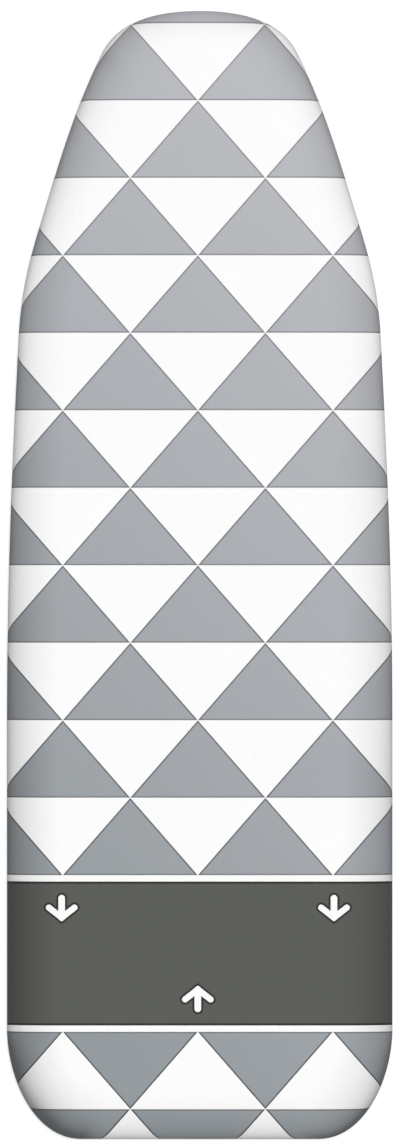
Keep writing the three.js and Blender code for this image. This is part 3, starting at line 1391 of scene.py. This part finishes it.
@dataclass
class Hem:
    """Hem of the cover: folded tape round the cloth's cut edge, the elastic in its tunnel and the stitching.

    The mouth is where the tape takes in the cloth, and the slant lies between the cloth and the tunnel.
    """

    outline: CoverOutline
    section: EdgeSection
    gathers: Gathers
    height: float
    elastic_low: float
    elastic_high: float
    gap: float = 0.0003
    tape: float = 0.0006
    grip: float = 0.008
    slant: float = 0.0015
    elastic_width: float = 0.008
    tape_count: int = 1900
    elastic_count: int = 1000
    fold_steps: int = 8
    scrunch: float = 0.0004
    scrunch_pitch: float = 0.0072
    scrunch_wander: float = 1.3
    scrunch_turns: int = 37
    stitch_pitch: float = 0.0042
    stitch_length: float = 0.0033
    stitch_radius: float = 0.00024
    stitch_segments: tuple[int, int] = (6, 4)
    seam_from_mouth: float = 0.0016
    seam_from_cut: float = 0.0012
    rib_count: int = 5
    rib_steps: int = 4
    rib_depth: float = 0.00012
    tape_cloth: PlainCloth = PlainCloth("hem_tape", srgb(150, 154, 158), Weave(thread=0.0006, depth=0.0001),
                                        roughness=0.88, thread_tone=0.16)

    def middle(self) -> float:
        """Height of the middle of the hem."""
        return self.height / 2

    def mouth(self) -> float:
        """Inset of the tape's open edges."""
        return self.section.return_width - self.grip

    def tunnel(self) -> tuple[float, float]:
        """Insets of the elastic's two edges."""
        outer = self.section.return_width + self.slant
        return outer, outer + self.elastic_width

    def fold(self, radius: float, start: float, end: float) -> Section:
        """Half circle round the inner end of the hem.

        Args:
            radius: Its radius.
            start: Angle of its first point, in degrees.
            end: Angle of its last point.

        Returns:
            Inset and height of its points.
        """
        angles = np.radians(np.linspace(start, end, self.fold_steps + 1))
        insets = self.tunnel()[1] + radius * np.cos(angles)
        return as_section(insets, self.middle() + radius * np.sin(angles))

    def tape_section(self) -> Section:
        """Closed section of the folded tape, with its open mouth at the cloth.

        Returns:
            Inset and height of its points.
        """
        outer, inner = self.tunnel()
        mouth, cut, middle = self.mouth(), self.section.return_width, self.middle()
        inner_face = self.section.cloth / 2 + self.gap
        outer_face = inner_face + self.tape
        room = middle - self.tape
        leaf = [((outer + inner) / 2, middle), (outer, middle), (cut, outer_face), (mouth, outer_face),
                (mouth, inner_face), (cut, inner_face), (outer, room)]
        upper = [(inset, middle + offset) for inset, offset in leaf]
        lower = [(inset, middle - offset) for inset, offset in reversed(leaf)]
        return [*self.fold(middle, -90, 90)[1:], *upper, *self.fold(room, 90, -90), *lower, (inner, 0.0)]

    def sweep(self, name: str, section: Section, count: int, swell: float, finish: Material) -> Piece:
        """Sweeps a closed section round the hem.

        Args:
            name: Name of the piece.
            section: Inset and height of its points.
            count: Stations round the edge.
            swell: How far the scrunched tape stands off its section.
            finish: Its material.

        Returns:
            The swept piece.
        """
        mesh = bmesh.new()
        stations = self.outline.stations(count)
        rings = [self.places(point, stations, swell) for point in section]
        first = ring = new_ring(mesh, rings[0])
        for places in rings[1:]:
            ring = extrude_ring(mesh, ring, places)
        close_rings(mesh, ring, first)
        return new_piece(name, mesh, [finish])

    def places(self, point: tuple[float, float], stations: np.ndarray, swell: float) -> np.ndarray:
        """Places of one ring of the hem, lifted by the gathers and scrunched by the elastic.

        Args:
            point: Inset and height in the section.
            stations: Stations round the edge.
            swell: How far the scrunched tape stands off its section.

        Returns:
            One row of x, y and z for each station.
        """
        inset, height = point
        once_round = 2 * math.pi * stations / self.outline.perimeter()
        wave = once_round * round(self.outline.perimeter() / self.scrunch_pitch)
        ripple = 0.5 + 0.5 * np.sin(wave + self.scrunch_wander * np.sin(once_round * self.scrunch_turns))
        off_middle = min(abs(height - self.middle()) / self.middle(), 1.0)
        ring = self.outline.places(inset, height + off_middle * swell * ripple, stations)
        return ring + self.gathers.shift(inset, stations)

    def build_tape(self) -> Piece:
        """Builds the folded hem tape."""
        return self.sweep("hem_tape", self.tape_section(), self.tape_count, self.scrunch,
                          self.tape_cloth.material())

    def build_elastic(self) -> Piece:
        """Builds the flat elastic, with ribs along it.

        Returns:
            The elastic.
        """
        outer, inner = self.tunnel()
        insets = np.linspace(inner, outer, self.rib_steps * self.rib_count + 1)
        turns = np.linspace(0, 2 * math.pi * self.rib_count, len(insets))
        ribs = self.rib_depth * (0.5 + 0.5 * np.cos(turns))
        faces = (self.elastic_high - ribs, self.elastic_low + ribs)
        top, bottom = (as_section(insets, heights) for heights in faces)
        section = top + bottom[::-1]
        return self.sweep("elastic_band", section, self.elastic_count, 0.0, RibbedElastic().material())

    def build_stitching(self) -> Piece:
        """Builds the two rows of stitches that hold the tape, on both of its faces.

        Returns:
            All the stitches as one piece.
        """
        source = bmesh.new()
        around, along = self.stitch_segments
        bmesh.ops.create_uvsphere(source, u_segments=around, v_segments=along, radius=1.0)
        stitch = bpy.data.meshes.new("stitch")
        source.to_mesh(stitch)
        source.free()
        mesh = bmesh.new()
        leaf = self.section.cloth / 2 + self.gap + self.tape
        stations = self.outline.stations(round(self.outline.perimeter() / self.stitch_pitch))
        for inset in (self.mouth() + self.seam_from_mouth, self.section.return_width - self.seam_from_cut):
            outward = self.outline.outward(inset, stations)
            for height in (self.middle() + leaf, self.middle() - leaf):
                points = self.outline.places(inset, height, stations) + self.gathers.shift(inset, stations)
                for point, out in zip(points, outward):
                    self.add_stitch(mesh, stitch, Vector(point), out)
        bpy.data.meshes.remove(stitch)
        return new_piece("hem_stitching", mesh, [SewingThread().material()])

    def add_stitch(self, mesh: Mesh, stitch: bpy.types.Mesh, place: Vector, outward: np.ndarray) -> None:
        """Adds one stitch, laid along the hem.

        Args:
            mesh: Mesh that receives it.
            stitch: Its shape, of radius 1.
            place: Its middle.
            outward: Direction out of the hem, as x and y.
        """
        along = Vector((outward[1], -outward[0], 0.0))
        across = Vector((outward[0], outward[1], 0.0))
        axes = Matrix((along, across, Vector((0, 0, 1)))).transposed().to_4x4()
        size = Matrix.Diagonal((self.stitch_length / 2, self.stitch_radius, self.stitch_radius, 1.0))
        copy = stitch.copy()
        copy.transform(Matrix.Translation(place) @ axes @ size)
        mesh.from_mesh(copy)
        bpy.data.meshes.remove(copy)


@dataclass(frozen=True)
class Studio:
    """Plain pale floor, soft overhead light, white surroundings and a camera straight above."""

    floor_size: float = 400.0
    floor_drop: float = 0.0002
    floor_grey: float = 0.38
    floor_glow: float = 0.64
    key: float = 2.9
    key_angle: float = 16.0
    key_tilt: tuple[float, float] = (5.5, 4.0)
    ambient: float = 0.13
    lens: float = 560.0
    sensor: float = 36.0
    frame_height: float = 1.2128
    aim: tuple[float, float] = (0.0003, 0.0053)
    aim_height: float = 0.012

    def build(self) -> None:
        """Sets up the floor, the light and the camera."""
        bpy.context.scene.view_settings.view_transform = "Standard"
        self.add_floor()
        self.add_world()
        self.add_key()
        self.add_camera()

    def add_floor(self) -> None:
        """Adds a pale floor that looks white to the camera and keeps the shadow."""
        mesh = bmesh.new()
        bmesh.ops.create_grid(mesh, x_segments=1, y_segments=1, size=self.floor_size / 2)
        bmesh.ops.translate(mesh, verts=mesh.verts[:], vec=(0, 0, -self.floor_drop))
        tree = FinishTree("pale_floor")
        tree.node_tree.nodes.remove(tree.shader)
        plain = tree.node("ShaderNodeBsdfDiffuse", inputs={"Color": (self.floor_grey,) * 3 + (1.0,)})
        glow = tree.node("ShaderNodeEmission", inputs={"Strength": self.floor_glow})
        glowing = tree.node("ShaderNodeAddShader", inputs={0: plain.outputs[0], 1: glow.outputs[0]})
        shown = tree.node("ShaderNodeMixShader", inputs={0: tree.seen(), 1: plain.outputs[0],
                                                         2: glowing.outputs[0]})
        tree.feed(tree.node_tree.nodes["Material Output"].inputs["Surface"], shown.outputs[0])
        new_piece("floor", mesh, [tree.material])

    def add_world(self) -> None:
        """Adds even soft light from all round, white to the camera."""
        world = bpy.data.worlds.new("white_room")
        world.use_nodes = True
        bpy.context.scene.world = world
        tree = ShaderTree(world.node_tree)
        back = world.node_tree.nodes["Background"]
        back.inputs["Color"].default_value = (1, 1, 1, 1)
        tree.feed(back.inputs["Strength"], tree.seen() * (1 - self.ambient) + self.ambient)

    def add_key(self) -> None:
        """Adds a soft light from above, leaning towards the nose and to the right."""
        lamp = bpy.data.lights.new("overhead", "SUN")
        lamp.energy = self.key
        lamp.angle = math.radians(self.key_angle)
        overhead = bpy.data.objects.new("overhead", lamp)
        noseward, rightward = (math.radians(tilt) for tilt in self.key_tilt)
        overhead.rotation_euler = (-noseward, rightward, 0.0)
        bpy.context.scene.collection.objects.link(overhead)

    def add_camera(self) -> None:
        """Adds a long-lens camera straight above, with the nose at the top of the picture."""
        data = bpy.data.cameras.new("camera")
        data.lens = self.lens
        data.sensor_width = self.sensor
        data.clip_end = self.floor_size
        camera = bpy.data.objects.new("camera", data)
        camera.location = (*self.aim, self.aim_height + self.frame_height * self.lens / self.sensor)
        bpy.context.scene.collection.objects.link(camera)
        bpy.context.scene.camera = camera


def dress(piece: Piece, node: str | None) -> Piece:
    """Ties a piece to the body and hides the solid that it stands for.

    Args:
        piece: The piece.
        node: Name of the solid, or None for a piece that stands for none.

    Returns:
        The same piece.
    """
    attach(piece, BODY)
    if node:
        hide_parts(node)
    LOG.info("%s: %d faces", piece.name, len(piece.data.polygons))
    return piece


def main() -> None:
    """Builds the studio and every piece of the cover, in order."""
    logging.basicConfig(level=logging.INFO, format="%(message)s")
    Studio().build()
    low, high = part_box("cover_fabric")
    outline = CoverOutline(high.y - low.y, high.x - low.x)
    section = EdgeSection(high.z, low.z)
    gathers = Gathers(outline)
    cloth = CoverCloth(outline, section, gathers)
    cover = dress(cloth.build(), "cover_fabric")
    foam_low, foam_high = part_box("foam_pad")
    depth = high.z - foam_high.z
    foam = dress(FoamPad(outline, section, foam_low.z, depth).build(), "foam_pad")
    felt_low, felt_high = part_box("felt_underlay")
    underlay = FeltUnderlay(outline, section, felt_low.z, felt_high.z, depth)
    felt = dress(underlay.build(), "felt_underlay")
    elastic_low, elastic_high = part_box("hem_elastic")
    hem = Hem(outline, section, gathers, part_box("hem_binding")[1].z, elastic_low.z, elastic_high.z)
    tape = dress(hem.build_tape(), "hem_binding")
    elastic = dress(hem.build_elastic(), "hem_elastic")
    stitching = dress(hem.build_stitching(), None)


if __name__ == "__main__":
    main()
